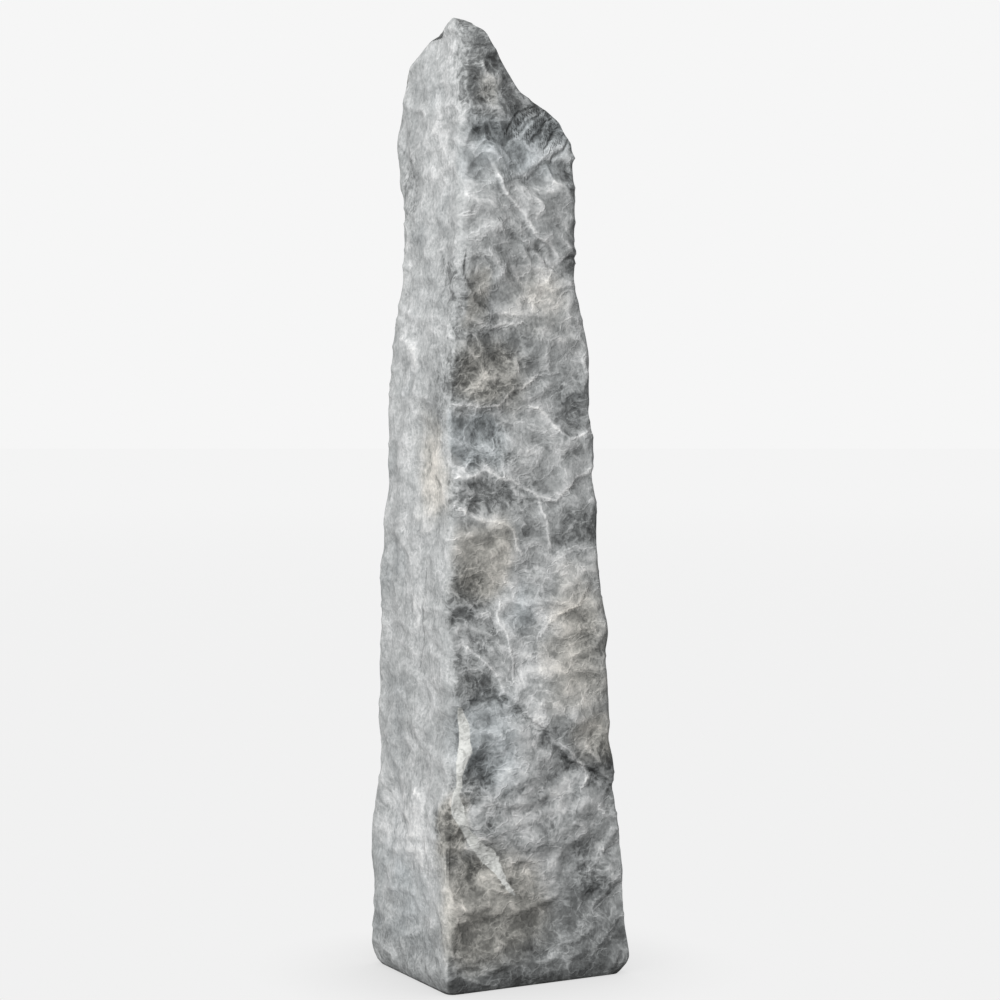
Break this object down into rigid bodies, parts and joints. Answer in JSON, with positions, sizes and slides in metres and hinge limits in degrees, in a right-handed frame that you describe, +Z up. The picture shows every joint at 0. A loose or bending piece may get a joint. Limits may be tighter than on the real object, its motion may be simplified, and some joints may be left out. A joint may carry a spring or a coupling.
{
  "type": "standing stone",
  "caption": "A tall rough-sided standing stone of veined grey marble, tapering to a slanting broken top and sawn flat underneath so that it stands on its own",
  "frame": {"origin": "on the ground, under the middle of the stone's bounding box", "axes": "+Z up along the stone, -Y out of the wide front face, -X out of the narrow left face"},
  "size_m": [0.3392, 0.3136, 1.4997],
  "materials": {
    "grey_marble": "rough split marble with pale veins"
  },
  "bodies": {
    "root": {"standing_stone": "grey_marble"}
  },
  "joints": []
}
